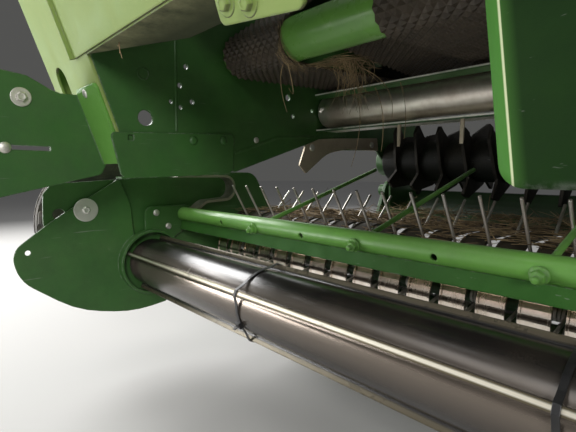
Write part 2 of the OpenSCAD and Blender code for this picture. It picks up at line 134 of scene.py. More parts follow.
data = bpy.data.cameras.new("photo_camera")
data.sensor_width = sensor_mm
data.lens = lens_mm
data.clip_start = 0.02
data.clip_end = 100
camera = bpy.data.objects.new("photo_camera", data)
ahead = Vector((
    -math.sin(camera_turn) * math.cos(camera_down),
    math.cos(camera_turn) * math.cos(camera_down),
    -math.sin(camera_down),
))
level = ahead.cross(Vector((0, 0, 1))).normalized()
upright = level.cross(ahead)
right = math.cos(camera_roll) * level - math.sin(camera_roll) * upright
upright = right.cross(ahead)
turn = Matrix((right, upright, -ahead)).transposed()
camera.matrix_world = Matrix.Translation(camera_at) @ turn.to_4x4()
bpy.context.scene.collection.objects.link(camera)
bpy.context.scene.camera = camera
bpy.context.scene.view_settings.view_transform = "Standard"

# Painted sheet metal of the frame and pickup
# Pressed and welded steel in green paint. It has a fine orange-peel skin, dust on what faces up,
# dull smears, and edges rubbed to primer and bare metal.
def effect_group(name, inputs, outputs):
    tree = bpy.data.node_groups.new(name, "ShaderNodeTree")
    for label, value in inputs.items():
        socket = tree.interface.new_socket(label, in_out="INPUT", socket_type="NodeSocketFloat")
        socket.default_value = value
    for label, kind in outputs.items():
        tree.interface.new_socket(label, in_out="OUTPUT", socket_type=kind)
    return tree, tree.nodes.new("NodeGroupInput"), tree.nodes.new("NodeGroupOutput")


def ramp(tree, source, low, high):
    made = node(tree, "ShaderNodeMapRange", **{"From Min": low, "From Max": high})
    made.clamp = True
    wire(tree, source, made, "Value")
    return made.outputs["Result"]


def math_node(tree, operation, a, b):
    made = node(tree, "ShaderNodeMath", operation=operation)
    for index, value in enumerate((a, b)):
        if isinstance(value, (int, float)):
            made.inputs[index].default_value = value
        else:
            tree.links.new(value, made.inputs[index])
    return made.outputs[0]


def multiply_add(tree, value, factor, base):
    made = node(tree, "ShaderNodeMath", operation="MULTIPLY_ADD")
    wire(tree, value, made, 0)
    made.inputs[1].default_value = factor
    made.inputs[2].default_value = base
    return made.outputs[0]


def object_place(tree):
    return node(tree, "ShaderNodeTexCoord").outputs["Object"]


def split_axes(tree, vector):
    split = node(tree, "ShaderNodeSeparateXYZ")
    wire(tree, vector, split, "Vector")
    return split.outputs


def noise(tree, coordinates, scale, detail=4.0, roughness=0.55):
    made = node(tree, "ShaderNodeTexNoise", Detail=detail, Roughness=roughness)
    if isinstance(scale, (int, float)):
        made.inputs["Scale"].default_value = scale
    else:
        wire(tree, scale, made, "Scale")
    wire(tree, coordinates, made, "Vector")
    return made.outputs["Fac"]


dust_group, given, result = effect_group(
    "field_dust", {"Amount": 0.5, "Scale": 9.0}, {"Mask": "NodeSocketFloat"}
)
place = object_place(dust_group)
facing = node(dust_group, "ShaderNodeNewGeometry").outputs["Normal"]
upward = ramp(dust_group, split_axes(dust_group, facing)["Z"], -0.6, 1.0)
clouds = noise(dust_group, place, given.outputs["Scale"], 6.0, 0.6)
grains = noise(dust_group, place, 420.0, 3.0, 0.7)
cover = math_node(dust_group, "MULTIPLY", ramp(dust_group, clouds, 0.35, 0.75), upward)
cover = math_node(dust_group, "MULTIPLY", cover, ramp(dust_group, grains, 0.25, 0.65))
cover = math_node(dust_group, "MULTIPLY", cover, given.outputs["Amount"])
dust_group.links.new(cover, result.inputs["Mask"])

edge_group, given, result = effect_group(
    "rubbed_edges",
    {"Width": 0.004, "Amount": 0.6},
    {"Mask": "NodeSocketFloat", "Normal": "NodeSocketVector"},
)
soft = node(edge_group, "ShaderNodeBevel", samples=4)
wire(edge_group, given.outputs["Width"], soft, "Radius")
sharp = node(edge_group, "ShaderNodeNewGeometry").outputs["Normal"]
dot = node(edge_group, "ShaderNodeVectorMath", operation="DOT_PRODUCT")
edge_group.links.new(soft.outputs["Normal"], dot.inputs[0])
edge_group.links.new(sharp, dot.inputs[1])
bend = ramp(edge_group, dot.outputs["Value"], 0.985, 0.80)
place = object_place(edge_group)
chips = ramp(edge_group, noise(edge_group, place, 60.0, 5.0, 0.65), 0.46, 0.60)
rubbed = math_node(edge_group, "MULTIPLY", bend, chips)
rubbed = math_node(edge_group, "MULTIPLY", rubbed, given.outputs["Amount"])
edge_group.links.new(rubbed, result.inputs["Mask"])
edge_group.links.new(soft.outputs["Normal"], result.inputs["Normal"])

skin_group, given, result = effect_group(
    "orange_peel",
    {"Peel Scale": 900.0, "Smear Scale": 14.0},
    {"Height": "NodeSocketFloat", "Smears": "NodeSocketFloat", "Scratches": "NodeSocketFloat"},
)
place = object_place(skin_group)
peel = noise(skin_group, place, given.outputs["Peel Scale"], 2.0, 0.4)
smears = ramp(skin_group, noise(skin_group, place, given.outputs["Smear Scale"], 7.0, 0.65), 0.38, 0.68)
stretch = node(skin_group, "ShaderNodeMapping", Scale=(60.0, 9.0, 240.0), Rotation=(0.5, 0.2, 0.9))
wire(skin_group, place, stretch, "Vector")
scratches = ramp(skin_group, noise(skin_group, stretch.outputs[0], 1.0, 3.0, 0.5), 0.70, 0.76)
skin_group.links.new(peel, result.inputs["Height"])
skin_group.links.new(smears, result.inputs["Smears"])
skin_group.links.new(scratches, result.inputs["Scratches"])


def use_group(tree, group, **values):
    made = tree.nodes.new("ShaderNodeGroup")
    made.node_tree = group
    for name, value in values.items():
        made.inputs[name.replace("_", " ")].default_value = value
    return made


def blend_colour(tree, mask, below, above):
    made = node(tree, "ShaderNodeMix", data_type="RGBA")
    if isinstance(mask, (int, float)):
        made.inputs[0].default_value = mask
    else:
        tree.links.new(mask, made.inputs[0])
    for index, value in ((6, below), (7, above)):
        if isinstance(value, tuple):
            made.inputs[index].default_value = (*value, 1)
        else:
            tree.links.new(value, made.inputs[index])
    return made.outputs[2]


def surface_bump(tree, shader, height, strength, distance, normal=None):
    bump = node(tree, "ShaderNodeBump", Strength=strength, Distance=distance)
    wire(tree, height, bump, "Height")
    if normal is not None:
        wire(tree, normal, bump, "Normal")
    wire(tree, bump.outputs["Normal"], shader, "Normal")


dust_colour = (0.36, 0.30, 0.20)
primer_colour = (0.30, 0.31, 0.28)
frame_green, frame_green_deep = (0.036, 0.118, 0.024), (0.027, 0.090, 0.018)


def green_paint(name, colour, deep, dust_amount, gloss, shine=0.5, bend_w=0.004):
    material, tree, shader = new_material(name)
    shader.inputs["Specular IOR Level"].default_value = shine
    skin = use_group(tree, skin_group)
    edges = use_group(tree, edge_group, Width=bend_w)
    dust = use_group(tree, dust_group, Amount=dust_amount)
    body = blend_colour(tree, skin.outputs["Smears"], colour, deep)
    scratched = math_node(tree, "MULTIPLY", skin.outputs["Scratches"], 0.35)
    body = blend_colour(tree, scratched, body, primer_colour)
    body = blend_colour(tree, edges.outputs["Mask"], body, primer_colour)
    body = blend_colour(tree, dust.outputs["Mask"], body, dust_colour)
    wire(tree, body, shader, "Base Color")
    rough = multiply_add(tree, skin.outputs["Smears"], 0.16, gloss)
    rough = math_node(tree, "ADD", rough, math_node(tree, "MULTIPLY", dust.outputs["Mask"], 0.45))
    wire(tree, rough, shader, "Roughness")
    surface_bump(tree, shader, skin.outputs["Height"], 0.12, 0.0006, edges.outputs["Normal"])
    return material


def axis_value(tree, axis):
    return split_axes(tree, object_place(tree))[axis]


def tint(material, mask, colour):
    tree = material.node_tree
    shader = tree.nodes["Principled BSDF"]
    below = shader.inputs["Base Color"].links[0].from_socket
    wire(tree, blend_colour(tree, mask, below, colour), shader, "Base Color")


def finish_nodes(material, *names):
    for name in names:
        data = nodes[name].data
        data.materials.clear()
        data.materials.append(material)


frame_paint = green_paint("frame_paint", frame_green, frame_green_deep, dust_amount=0.16, gloss=0.36)
finish_nodes(
    frame_paint, "side_sheet_left", "side_sheet_right", "box_plate_left", "box_plate_right", "cross_beam",
    "end_plate_left", "end_plate_right", "nose_plate_left", "nose_plate_right", "pickup_beam",
    "hanger_arm_left", "hanger_arm_right", "band_rails", "wheel_arm_left", "wheel_arm_right",
    "press_arm_left", "press_arm_right", "feed_floor",
)

# Cross tube, rods, lip and front roll
# Brighter green tubes and rods, the matt lip under the cross tube, and the glossy front belt roll.
bright_paint = green_paint(
    "bright_paint", (0.130, 0.325, 0.058), (0.104, 0.268, 0.050), dust_amount=0.14, gloss=0.30, shine=0.35
)
roll_paint = green_paint(
    "roll_paint", (0.150, 0.350, 0.068), (0.125, 0.300, 0.060), dust_amount=0.05, gloss=0.20
)
lip_paint = green_paint(
    "lip_paint", (0.030, 0.112, 0.017), (0.024, 0.088, 0.014), dust_amount=0.10, gloss=0.50, shine=0.12
)
finish_nodes(bright_paint, "press_tube", "compressor_rods")
finish_nodes(roll_paint, "front_belt_roll")
finish_nodes(lip_paint, "press_lip")

# Front panel and slotted plates
# Frame green painted lighter and yellower as light falling on these plates, with dust over it. Faces that
# look down are painted darker as shade, and that shade turns pale in noisy streaks towards the front.
panel_front, streaks_end = -1.052, -0.990
# Lighter, yellower copy of the frame green: painted light.
lit_panel_paint = green_paint(
    "lit_panel_paint", (0.200, 0.300, 0.062), (0.255, 0.335, 0.100), dust_amount=0.45, gloss=0.56, shine=0.25
)
tree = lit_panel_paint.node_tree
facing = node(tree, "ShaderNodeNewGeometry").outputs["Normal"]
shade_facing_down = ramp(tree, split_axes(tree, facing)["Z"], -0.55, -0.90)
# Painted shade on faces that look down.
tint(lit_panel_paint, shade_facing_down, (0.050, 0.056, 0.030))
front_part = ramp(tree, axis_value(tree, "Y"), streaks_end, panel_front)
streaky = noise(tree, object_place(tree), 22.0, 7.0, 0.68)
front_part = math_node(tree, "MULTIPLY", front_part, ramp(tree, streaky, 0.30, 0.62))
# Towards the front edge the painted shade turns pale in noisy streaks.
tint(lit_panel_paint, math_node(tree, "MULTIPLY", front_part, shade_facing_down), (0.240, 0.235, 0.130))
finish_nodes(lit_panel_paint, "slotted_strut_left", "slotted_strut_right", "front_panel")

# Front arms
# Dark green plates. The flange that turns to the front is coloured a brighter green.
arm_inner_face = 0.889
arm_paint = green_paint("arm_paint", frame_green, frame_green_deep, dust_amount=0.16, gloss=0.36)
tree = arm_paint.node_tree
off_middle = math_node(tree, "ABSOLUTE", axis_value(tree, "X"), 0)
tint(arm_paint, ramp(tree, off_middle, arm_inner_face + 0.0006, arm_inner_face), (0.120, 0.310, 0.052))
finish_nodes(arm_paint, "front_arm_left", "front_arm_right")

# Hanging centre post
# Green plate that narrows towards its foot, painted very dark as shade. Along each folded edge a brighter
# green strip with a pale line is painted as a highlight.
post_half_w, half_w_at_origin, taper = 0.115, 0.1123, 0.1328
# The whole plate is painted very dark green as shade.
post_shade_highlight_paint = green_paint(
    "post_shade_highlight_paint", (0.009, 0.031, 0.005), (0.006, 0.022, 0.004), dust_amount=0.02, gloss=0.34, shine=0.12,
    bend_w=0.010
)
tree = post_shade_highlight_paint.node_tree
edge_at = multiply_add(tree, axis_value(tree, "Z"), taper, half_w_at_origin)
edge_at = math_node(tree, "MINIMUM", edge_at, post_half_w)
off_middle = math_node(tree, "ABSOLUTE", axis_value(tree, "X"), 0)
past_edge = math_node(tree, "SUBTRACT", off_middle, edge_at)
# Painted highlight along each fold: a lighter green fade, a pale line, then a bright green strip out to the
# edge.
tint(post_shade_highlight_paint, ramp(tree, past_edge, -0.018, -0.009), (0.034, 0.100, 0.018))
tint(post_shade_highlight_paint, ramp(tree, past_edge, -0.0094, -0.0088), (0.560, 0.620, 0.370))
tint(post_shade_highlight_paint, ramp(tree, past_edge, -0.0080, -0.0072), (0.060, 0.190, 0.032))
finish_nodes(post_shade_highlight_paint, "centre_post")

# Pressed creases of the side sheets
# The press leaves a low ridge along the lower bend and up the front bend of each sheet.
sheet_in = 0.780
crease_line = ((-0.740, -0.053), (-0.683, -0.035), (-0.616, -0.011), (-0.363, 0.007))
seam_line = ((-0.882, -0.015), (-0.882, 0.163))


def ridge(bm, line, face, inward, half_w, height):
    rows = []
    for i, (y, z) in enumerate(line):
        before, after = Vector(line[max(i - 1, 0)]), Vector(line[min(i + 1, len(line) - 1)])
        way = (after - before).normalized()
        side_step = Vector((-way.y, way.x)) * half_w
        rows.append([
            bm.verts.new((face, y + side_step.x, z + side_step.y)),
            bm.verts.new((face + inward * height, y + side_step.x * 0.3, z + side_step.y * 0.3)),
            bm.verts.new((face + inward * height, y - side_step.x * 0.3, z - side_step.y * 0.3)),
            bm.verts.new((face, y - side_step.x, z - side_step.y)),
        ])
    for near, far in zip(rows, rows[1:]):
        for i in range(3):
            bm.faces.new((near[i], near[i + 1], far[i + 1], far[i]))
    bm.faces.new(rows[0])
    bm.faces.new(rows[-1])
    bmesh.ops.recalc_face_normals(bm, faces=bm.faces)


for side, name in ((-1, "left"), (1, "right")):
    bm = bmesh.new()
    ridge(bm, crease_line, side * sheet_in, -side, half_w=0.0045, height=0.0016)
    ridge(bm, seam_line, side * sheet_in, -side, half_w=0.0030, height=0.0010)
    creases = mesh_object("sheet_creases_" + name, bm, frame_paint)
    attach(creases, "intake_frame")


# Bare and plated steel
# The polished smooth roll, spring-steel tines, worn straps, plated brackets and the dark rotor discs, made
# near-black in part as shade.
brushed_group, given, result = effect_group(
    "brushed_steel",
    {"Along": 3.0, "Across": 300.0, "Stain Scale": 12.0},
    {"Streaks": "NodeSocketFloat", "Stains": "NodeSocketFloat"},
)
place = object_place(brushed_group)
scales = node(brushed_group, "ShaderNodeCombineXYZ")
wire(brushed_group, given.outputs["Along"], scales, "X")
wire(brushed_group, given.outputs["Across"], scales, "Y")
wire(brushed_group, given.outputs["Across"], scales, "Z")
stretch = node(brushed_group, "ShaderNodeVectorMath", operation="MULTIPLY")
brushed_group.links.new(place, stretch.inputs[0])
brushed_group.links.new(scales.outputs[0], stretch.inputs[1])
streaks = noise(brushed_group, stretch.outputs[0], 1.0, 4.0, 0.6)
stains = noise(brushed_group, place, given.outputs["Stain Scale"], 6.0, 0.62)
stains = ramp(brushed_group, stains, 0.42, 0.70)
brushed_group.links.new(streaks, result.inputs["Streaks"])
brushed_group.links.new(stains, result.inputs["Stains"])


def steel(name, colour, stain, gloss, along, across, dust_amount=0.2, metallic=1.0, spread=0.30):
    material, tree, shader = new_material(name)
    grain = use_group(tree, brushed_group, Along=along, Across=across)
    edges = use_group(tree, edge_group, Width=0.0015)
    dust = use_group(tree, dust_group, Amount=dust_amount)
    body = blend_colour(tree, grain.outputs["Stains"], colour, stain)
    body = blend_colour(tree, dust.outputs["Mask"], body, dust_colour)
    wire(tree, body, shader, "Base Color")
    rough = multiply_add(tree, grain.outputs["Streaks"], spread, gloss)
    rough = math_node(tree, "ADD", rough, math_node(tree, "MULTIPLY", grain.outputs["Stains"], 0.12))
    wire(tree, rough, shader, "Roughness")
    wire(tree, math_node(tree, "SUBTRACT", metallic, dust.outputs["Mask"]), shader, "Metallic")
    surface_bump(tree, shader, grain.outputs["Streaks"], 0.15, 0.0004, edges.outputs["Normal"])
    return material


tine_steel = steel(
    "tine_steel", (0.74, 0.72, 0.68), (0.46, 0.40, 0.33), gloss=0.20, along=40.0, across=40.0,
    dust_amount=0.06
)
roll_steel = steel(
    "roll_steel", (0.95, 0.89, 0.81), (0.60, 0.51, 0.43), gloss=0.26, along=320.0, across=4.0,
    dust_amount=0.04
)
worn_strap = steel(
    "worn_strap", (0.42, 0.40, 0.34), (0.17, 0.17, 0.11), gloss=0.28, along=30.0, across=30.0, metallic=0.85
)
bracket_zinc = steel(
    "bracket_zinc", (0.60, 0.52, 0.40), (0.42, 0.35, 0.26), gloss=0.34, along=30.0, across=60.0,
    dust_amount=0.4, metallic=0.75
)
# Dark rotor steel, made near-black in part as shade inside the machine.
rotor_steel = steel(
    "rotor_steel", (0.046, 0.041, 0.035), (0.022, 0.019, 0.016), gloss=0.48, along=30.0, across=60.0,
    metallic=0.5
)
finish_nodes(tine_steel, "tines")
finish_nodes(roll_steel, "smooth_roll")
finish_nodes(worn_strap, "press_strap_left", "press_strap_right")
finish_nodes(bracket_zinc, "guide_bracket_left", "guide_bracket_right", "guide_strips")
finish_nodes(rotor_steel, "rotor_tines")

# Stripper bands
# Bent bright steel bands. Across the front a brown band over a dark line is painted as a reflection, and the
# run at the rear is painted dark and dull as shade.
band_steel = steel(
    "band_steel", (0.96, 0.88, 0.79), (0.74, 0.62, 0.51), gloss=0.12, along=220.0, across=8.0,
    dust_amount=0.05, spread=0.16
)
tree = band_steel.node_tree
shader = tree.nodes["Principled BSDF"]
height = axis_value(tree, "Z")
# Painted shade: the rear run is darker, less metallic and rougher.
painted_shade_rear = ramp(tree, axis_value(tree, "Y"), -0.578, -0.552)
painted_reflection_brown = ramp(tree, height, -0.316, -0.298)
painted_reflection_line = math_node(tree, "MINIMUM", ramp(tree, height, -0.322, -0.319), ramp(tree, height, -0.314, -0.317))
# Painted reflection: brown above a thin dark line, with bright steel below.
tint(band_steel, math_node(tree, "MULTIPLY", painted_reflection_brown, 0.75), (0.60, 0.37, 0.22))
tint(band_steel, math_node(tree, "MULTIPLY", painted_reflection_line, 0.8), (0.13, 0.10, 0.08))
tint(band_steel, painted_shade_rear, (0.050, 0.040, 0.026))
metal = shader.inputs["Metallic"].links[0].from_socket
metal = math_node(tree, "SUBTRACT", metal, math_node(tree, "MULTIPLY", painted_shade_rear, 0.8))
wire(tree, metal, shader, "Metallic")
rough = shader.inputs["Roughness"].links[0].from_socket
rough = math_node(tree, "ADD", rough, math_node(tree, "MULTIPLY", painted_shade_rear, 0.4))
wire(tree, rough, shader, "Roughness")
finish_nodes(band_steel, "stripper_bands")

# Scrapers of the smooth roll
# Two bent strips in green paint. Their long edges are scoured to bright steel.
scraper_paint, tree, shader = new_material("scraper_paint")
skin = use_group(tree, skin_group)
grain = use_group(tree, brushed_group, Along=6.0, Across=160.0)
height = axis_value(tree, "Z")
top_edge = ramp(tree, height, 0.1040, 0.1052)
low_edge = math_node(tree, "MULTIPLY", ramp(tree, height, 0.0140, 0.0152), ramp(tree, height, 0.0260, 0.0240))
scoured = math_node(tree, "ADD", top_edge, low_edge)
scoured = math_node(tree, "MULTIPLY", scoured, ramp(tree, grain.outputs["Stains"], 1.10, 0.20))
body = blend_colour(tree, skin.outputs["Smears"], (0.035, 0.108, 0.026), (0.026, 0.082, 0.020))
body = blend_colour(tree, scoured, body, (0.95, 0.93, 0.84))
wire(tree, body, shader, "Base Color")
wire(tree, math_node(tree, "MULTIPLY", scoured, 0.30), shader, "Metallic")
wire(tree, multiply_add(tree, grain.outputs["Streaks"], 0.25, 0.18), shader, "Roughness")
surface_bump(tree, shader, skin.outputs["Height"], 0.12, 0.0005)
finish_nodes(scraper_paint, "upper_scraper", "lower_scraper")

# Crop roller
# A rolled tube in gloss black paint with welded ribs. Crop has worn the ribs to bare metal, and a bright line
# along each rib's crown is painted as a highlight. A brown metallic band beside two of the ribs is painted as
# a reflection.
roller_at = Vector((0, -0.800, -0.342))
rib_turn = math.radians(66)
roller_black, tree, shader = new_material("roller_black")
skin = use_group(tree, skin_group, Smear_Scale=9.0)
edges = use_group(tree, edge_group, Width=0.0045, Amount=0.0)
dust = use_group(tree, dust_group, Amount=0.04)
place = object_place(tree)
from_axis = node(tree, "ShaderNodeVectorMath", operation="SUBTRACT")
wire(tree, place, from_axis, 0)
from_axis.inputs[1].default_value = roller_at
across = node(tree, "ShaderNodeVectorMath", operation="MULTIPLY")
wire(tree, from_axis.outputs[0], across, 0)
across.inputs[1].default_value = (0, 1, 1)
reach = node(tree, "ShaderNodeVectorMath", operation="LENGTH")
wire(tree, across.outputs[0], reach, 0)
reach = reach.outputs["Value"]
turned = node(tree, "ShaderNodeVectorRotate", rotation_type="X_AXIS", Angle=-rib_turn)
wire(tree, across.outputs[0], turned, "Vector")
turned = split_axes(tree, turned.outputs[0])
along_rib, beside_rib = turned["Y"], turned["Z"]
off_rib = math_node(
    tree, "MINIMUM", math_node(tree, "ABSOLUTE", along_rib, 0), math_node(tree, "ABSOLUTE", beside_rib, 0)
)
patches = ramp(tree, noise(tree, place, 26.0, 5.0, 0.6), 0.22, 0.40)
rib_height, rib_width = ramp(tree, reach, 0.0655, 0.0690), ramp(tree, off_rib, 0.0062, 0.0044)
bare = math_node(tree, "MULTIPLY", math_node(tree, "MULTIPLY", rib_height, rib_width), patches)
# Painted highlight: a bright line along the crown of each rib, on its bare metal.
crown_height, crown_width = ramp(tree, reach, 0.0715, 0.0745), ramp(tree, off_rib, 0.0032, 0.0014)
rib_painted_highlight = math_node(tree, "MULTIPLY", crown_height, crown_width)
near_face = ramp(tree, beside_rib, -0.010, 0.010)
far_face = math_node(tree, "SUBTRACT", 1.0, near_face)
# Painted reflection: a brown metallic band on the drum beside two of the ribs.
drum_painted_reflection = []
for hand, face in ((1, near_face), (-1, far_face)):
    rise = ramp(tree, along_rib, hand * -0.056, hand * -0.014)
    fall = ramp(tree, along_rib, hand * 0.034, hand * -0.010)
    drum_painted_reflection.append(math_node(tree, "MULTIPLY", math_node(tree, "MINIMUM", rise, fall), face))
drum_painted_reflection = math_node(tree, "ADD", *drum_painted_reflection)
body = blend_colour(tree, skin.outputs["Smears"], (0.010, 0.009, 0.009), (0.018, 0.015, 0.012))
body = blend_colour(tree, drum_painted_reflection, body, (0.175, 0.146, 0.120))
body = blend_colour(tree, dust.outputs["Mask"], body, dust_colour)
rib_metal_and_highlight = blend_colour(tree, rib_painted_highlight, (0.150, 0.128, 0.082), (0.80, 0.75, 0.62))
body = blend_colour(tree, bare, body, rib_metal_and_highlight)
wire(tree, body, shader, "Base Color")
rough = multiply_add(tree, skin.outputs["Smears"], 0.08, 0.20)
rough = math_node(tree, "ADD", rough, math_node(tree, "MULTIPLY", bare, 0.10))
wire(tree, rough, shader, "Roughness")
bare_metal = math_node(tree, "MULTIPLY", bare, 0.85)
metal = math_node(tree, "MAXIMUM", bare_metal, math_node(tree, "MULTIPLY", drum_painted_reflection, 0.75))
wire(tree, metal, shader, "Metallic")
surface_bump(tree, shader, skin.outputs["Height"], 0.10, 0.0005, edges.outputs["Normal"])
finish_nodes(roller_black, "crop_roller")

# Bale forming belts
# Endless belts of woven rubber with a moulded tread of diamond studs outside. They run in two sets
# over the belt rolls, and the studs leave a serrated edge.
belt_rubber, tree, shader = new_material("belt_rubber")
skin = use_group(tree, skin_group, Peel_Scale=1600.0, Smear_Scale=20.0)
dust = use_group(tree, dust_group, Amount=0.25, Scale=16.0)
body = blend_colour(tree, skin.outputs["Smears"], (0.044, 0.034, 0.024), (0.074, 0.056, 0.038))
body = blend_colour(tree, dust.outputs["Mask"], body, (0.20, 0.15, 0.09))
wire(tree, body, shader, "Base Color")
shader.inputs["Roughness"].default_value = 0.62
surface_bump(tree, shader, skin.outputs["Height"], 0.3, 0.0005)
roll_r = 0.0403
belt_base, stud_h, stud_step = 0.0026, 0.0044, 0.0086
belt_pitch, belt_w = 0.19375, 0.178
belt_count = 8
front_roll, middle_roll = (-0.733, 0.154), (-0.612, 0.200)
rear_roll, upper_roll = (-0.230, 0.178), (-0.420, 0.385)
front_loop = (front_roll, rear_roll, upper_roll)
back_loop = (middle_roll, rear_roll, upper_roll)


def belt_path(rolls, radius, steps=40):
    points = []
    for i, roll in enumerate(rolls):
        here, before, after = Vector(roll), Vector(rolls[i - 1]), Vector(rolls[(i + 1) % len(rolls)])
        came, goes = here - before, after - here
        start = math.atan2(came.y, came.x) - math.pi / 2
        turn = (math.atan2(goes.y, goes.x) - math.pi / 2 - start) % (2 * math.pi)
        for k in range(steps + 1):
            a = start + turn * k / steps
            points.append(here + radius * Vector((math.cos(a), math.sin(a))))
    points.append(points[0])
    return points


def evenly(points, step):
    lengths = [(b - a).length for a, b in zip(points, points[1:])]
    total = sum(lengths)
    count = 2 * round(total / step / 2)
    placed, seg, done = [], 0, 0.0
    for i in range(count):
        target = total * i / count
        while done + lengths[seg] < target:
            done += lengths[seg]
            seg += 1
        placed.append(points[seg].lerp(points[seg + 1], (target - done) / max(lengths[seg], 1e-9)))
    return placed


def belt_mesh(name, loop, places):
    line = evenly(belt_path(loop, roll_r + belt_base), stud_step)
    count, across = len(line), 2 * round(belt_w / stud_step / 2)
    verts, faces = [], []
    for x0 in places:
        start = len(verts)
        row = across + 3
        for i, p in enumerate(line):
            tangent = (line[(i + 1) % count] - line[i - 1]).normalized()
            out = Vector((tangent.y, -tangent.x))
            for j in range(across + 1):
                lift = stud_h if (i + j) % 2 == 0 else 0.0
                q = p + out * lift
                verts.append((x0 - belt_w / 2 + belt_w * j / across, q.x, q.y))
            for side in (-1, 1):
                q = p - out * belt_base
                verts.append((x0 + side * belt_w / 2, q.x, q.y))
        for i in range(count):
            here, there = start + i * row, start + (i + 1) % count * row
            for j in range(across):
                a, b, c, d = here + j, here + j + 1, there + j + 1, there + j
                faces += [(a, b, d), (b, c, d)] if (i + j) % 2 == 0 else [(a, b, c), (a, c, d)]
            faces.append((here, there, there + across + 1, here + across + 1))
            faces.append((here + across, here + across + 2, there + across + 2, there + across))
            faces.append((here + across + 1, there + across + 1, there + across + 2, here + across + 2))
    mesh = bpy.data.meshes.new(name)
    mesh.from_pydata(verts, [], faces)
    bm = bmesh.new()
    bm.from_mesh(mesh)
    bmesh.ops.recalc_face_normals(bm, faces=bm.faces)
    return mesh_object(name, bm, belt_rubber)


for name, loop, first in (("belts_front", front_loop, 0), ("belts_back", back_loop, 1)):
    places = [belt_pitch * (i - (belt_count - 1) / 2) for i in range(first, belt_count, 2)]
    belts = belt_mesh(name + "_tread", loop, places)
    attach(belts, "intake_frame")
    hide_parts(name)

# Hidden rolls, reel and gauge wheels
# Painted tubes and bars inside the machine, and small pneumatic wheels on pressed rims.
reel_paint = green_paint(
    "reel_paint", (0.030, 0.090, 0.026), (0.020, 0.055, 0.018), dust_amount=0.5, gloss=0.42
)
# Dark paint for the rolls and rotor tube inside the machine, made near-black in part as shade.
shade_dark_paint = green_paint(
    "shade_dark_paint", (0.011, 0.013, 0.011), (0.008, 0.009, 0.008), dust_amount=0.3, gloss=0.52, shine=0.25
)
rim_paint = green_paint("rim_paint", (0.60, 0.42, 0.05), (0.42, 0.30, 0.05), dust_amount=0.7, gloss=0.36)
finish_nodes(reel_paint, "reel_shaft", "tine_bars")
finish_nodes(shade_dark_paint, "middle_belt_roll", "rear_belt_roll", "upper_belt_roll", "rotor_tube")
finish_nodes(rim_paint, "gauge_rim_left", "gauge_rim_right")

# Gauge wheel tyres
# Small ribbed pneumatic tyres: four round ribs, with blocks cut across both shoulders.
tyre_rubber, tree, shader = new_material("tyre_rubber")
skin = use_group(tree, skin_group, Peel_Scale=1300.0, Smear_Scale=24.0)
dust = use_group(tree, dust_group, Amount=0.8, Scale=12.0)
body = blend_colour(tree, skin.outputs["Smears"], (0.022, 0.021, 0.020), (0.040, 0.037, 0.033))
body = blend_colour(tree, dust.outputs["Mask"], body, dust_colour)
wire(tree, body, shader, "Base Color")
shader.inputs["Roughness"].default_value = 0.70
surface_bump(tree, shader, skin.outputs["Height"], 0.25, 0.0005)
tyre_steps, notch_depth = 160, 0.006
wheel_x, wheel_at = 1.350, (-0.830, -0.250)
half_tyre = (
    (0.0375, 0.1105, 0), (0.0385, 0.122, 0), (0.0435, 0.136, 0), (0.0448, 0.155, 0), (0.0440, 0.170, 0),
    (0.0425, 0.180, 1), (0.0385, 0.190, 1), (0.0310, 0.1955, 1), (0.0255, 0.1970, 0), (0.0250, 0.1910, 0),
    (0.0215, 0.1910, 0), (0.0210, 0.1980, 0), (0.0050, 0.1998, 0), (0.0040, 0.1930, 0),
)


def join_rings(bm, rings):
    for near, far in zip(rings, rings[1:]):
        for i in range(len(near)):
            j = (i + 1) % len(near)
            bm.faces.new((near[i], near[j], far[j], far[i]))


def tyre_mesh(name, middle):
    bm = bmesh.new()
    line = [*half_tyre, *((-x, r, cut) for x, r, cut in reversed(half_tyre))]
    rows = []
    for i in range(tyre_steps):
        a = 2 * math.pi * i / tyre_steps
        notch = notch_depth if i % 8 < 3 else 0.0
        row = []
        for x, r, cut in line:
            reach = r - notch * cut
            y, z = wheel_at[0] + reach * math.cos(a), wheel_at[1] + reach * math.sin(a)
            row.append(bm.verts.new((middle + x, y, z)))
        rows.append(row)
    join_rings(bm, rows + rows[:1])
    bmesh.ops.recalc_face_normals(bm, faces=bm.faces)
    return mesh_object(name, bm, tyre_rubber)


for side, name in ((-1, "left"), (1, "right")):
    tyre = tyre_mesh("gauge_tyre_tread_" + name, side * wheel_x)
    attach(tyre, "gauge_wheel_" + name)
    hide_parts("gauge_tyre_" + name)

# Tine coils
# Each spring tine is wound three turns round its bar before it stands out.
reel_at, bar_reach = Vector((-0.480, -0.299)), 0.062
bar_count, first_bar = 5, 48.8
tine_count, tine_pitch, first_tine_x = 32, 0.066, -1.023
coil_r, coil_wire_r, coil_lead = 0.0128, 0.0027, 0.0062
turn_steps, coil_turns, wire_sides = 12, 3, 5
bm = bmesh.new()
for bar in range(bar_count):
    a = math.radians(first_bar + 360 / bar_count * bar)
    middle = reel_at + bar_reach * Vector((math.cos(a), math.sin(a)))
    for k in range(tine_count):
        start_x = first_tine_x + tine_pitch * k
        hand = 1 if k % 2 == 0 else -1
        rings = []
        for step in range(turn_steps * coil_turns + 1):
            t = a + math.pi / 2 + 2 * math.pi * step / turn_steps
            spoke = Vector((0, math.cos(t), math.sin(t)))
            shift = hand * coil_lead * step / turn_steps
            centre = Vector((start_x + shift, middle.x, middle.y)) + spoke * coil_r
            ring = []
            for corner in range(wire_sides):
                turn = 2 * math.pi * corner / wire_sides
                out = spoke * coil_wire_r * math.cos(turn)
                ring.append(bm.verts.new(centre + out + Vector((coil_wire_r * math.sin(turn), 0, 0))))
            rings.append(ring)
        join_rings(bm, rings)
        bm.faces.new(rings[0])
        bm.faces.new(rings[-1])
